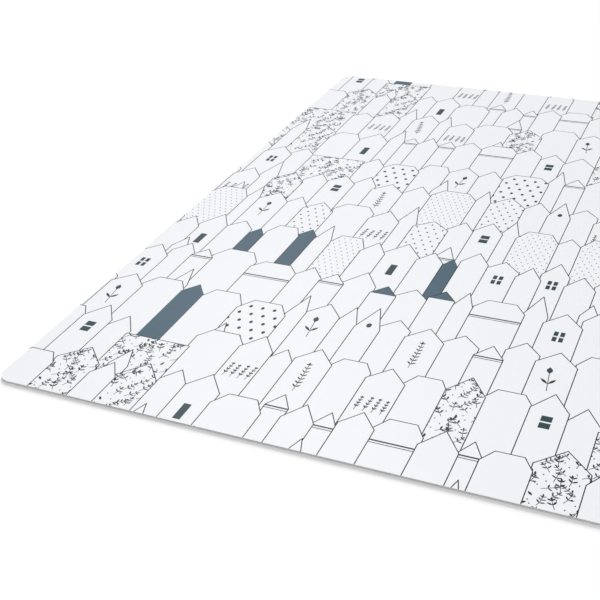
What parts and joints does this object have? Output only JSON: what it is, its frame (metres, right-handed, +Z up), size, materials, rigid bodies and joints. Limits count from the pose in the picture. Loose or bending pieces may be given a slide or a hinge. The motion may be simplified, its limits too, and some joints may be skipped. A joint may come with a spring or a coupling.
{
  "type": "desk chair mat",
  "caption": "Thin rigid vinyl floor mat for a desk chair: a rounded rectangle, printed all over, with a clear satin wear film and an embossed anti-slip underside.",
  "frame": {"origin": "middle of the underside, on the floor", "axes": "+Z up from the floor, +Y along the mat's long side (the way the printed pattern stands up), +X along its short side"},
  "size_m": [0.9, 1.2, 0.0018],
  "materials": {
    "backing_foam": "matt embossed foam",
    "core_vinyl": "matt cut edge",
    "glass_fleece": "fibrous, vinyl-soaked",
    "print_film": "satin white",
    "wear_film": "clear, fine satin emboss",
    "ink_dark": "charcoal printing ink",
    "ink_slate": "slate blue printing ink"
  },
  "bodies": {
    "root": {"anti_slip_backing": "backing_foam", "lower_core": "core_vinyl", "glass_fleece": "glass_fleece", "upper_core": "core_vinyl", "print_film": "print_film", "wear_film": "wear_film"}
  },
  "joints": []
}
